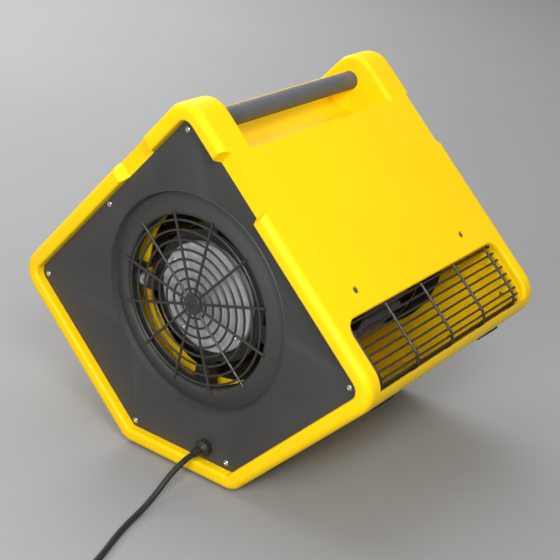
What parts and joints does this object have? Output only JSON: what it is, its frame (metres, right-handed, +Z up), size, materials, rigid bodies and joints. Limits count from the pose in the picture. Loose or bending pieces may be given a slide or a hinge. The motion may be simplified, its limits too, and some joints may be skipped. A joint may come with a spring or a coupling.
{
  "type": "air mover",
  "caption": "Portable radial blower with a moulded casing, a carrying handle, guarded side intakes, a wide wire-guarded outlet and a mains lead.",
  "frame": {"origin": "middle of the casing's footprint box, at the floor the rubber feet stand on; the mains lead, its gland and plug are left out of that box", "axes": "+X along the fan axis to the right side, +Y to the back, +Z up; the outlet faces forward and down at 45 degrees"},
  "size_m": [0.8018, 0.6294, 0.5434],
  "materials": {
    "yellow_plastic": "satin rotomoulded plastic",
    "black_plastic": "fine grained moulded plastic",
    "wheel_plastic": "satin moulded plastic",
    "wire_black": "black powder coat",
    "handle_coat": "textured grey coat",
    "screw_steel": "zinc plated",
    "screw_black": "blackened",
    "bracket_black": "black powder coat",
    "motor_metal": "cast, satin",
    "core_steel": "laminated",
    "winding_copper": "varnished copper wire in resin",
    "shaft_steel": "ground",
    "rubber_black": "matt",
    "cable_black": "matt",
    "gland_black": "satin",
    "rocker_red": "gloss",
    "capacitor_sleeve": "satin",
    "pin_metal": "nickel plated"
  },
  "bodies": {
    "housing": {"casing": "yellow_plastic", "scroll": "yellow_plastic", "left_side_cover": "black_plastic", "right_side_cover": "black_plastic", "left_intake_guard": "wire_black", "right_intake_guard": "wire_black", "outlet_guard": "wire_black", "handle_tube": "handle_coat", "handle_end_plugs": "gland_black", "handle_screws": "screw_steel", "left_cover_screws": "screw_steel", "right_cover_screws": "screw_steel", "front_screws": "screw_black", "motor_bracket": "bracket_black", "bracket_bushes": "rubber_black", "bracket_screws": "screw_steel", "motor_housing": "motor_metal", "motor_end_cap": "motor_metal", "end_cap_screws": "screw_steel", "stator_core": "core_steel", "stator_windings": "winding_copper", "rear_bearing": "shaft_steel", "front_bearing": "shaft_steel", "terminal_box": "gland_black", "capacitor": "capacitor_sleeve", "capacitor_clip": "screw_steel", "switch_body": "gland_black", "switch_pin": "screw_steel", "gland_body": "gland_black", "gland_nut": "gland_black", "gland_locknut": "gland_black", "base_feet": "rubber_black", "bottom_feet": "rubber_black", "mains_cord": "cable_black", "cord_tail": "cable_black", "cord_coil": "cable_black", "plug_body": "gland_black", "plug_pins": "pin_metal"},
    "rotor": {"rotor_core": "core_steel", "motor_shaft": "shaft_steel", "wheel_hub": "motor_metal", "hub_set_screw": "screw_black", "hub_screws": "screw_steel", "wheel_plate": "wheel_plastic", "wheel_blades": "wheel_plastic", "wheel_rings": "wheel_plastic"},
    "rocker": {"switch_rocker": "rocker_red"}
  },
  "joints": [
    {"name": "fan_spin", "type": "hinge", "parent": "housing", "child": "rotor", "pos_m": [0, -0.01308, 0.263], "axis": [1, 0, 0], "continuous": true},
    {"name": "switch_rock", "type": "hinge", "parent": "housing", "child": "rocker", "pos_m": [0.1972, 0.21319, 0.22057], "axis": [0, -0.7071, 0.7071], "range_deg": [0, 16]}
  ]
}
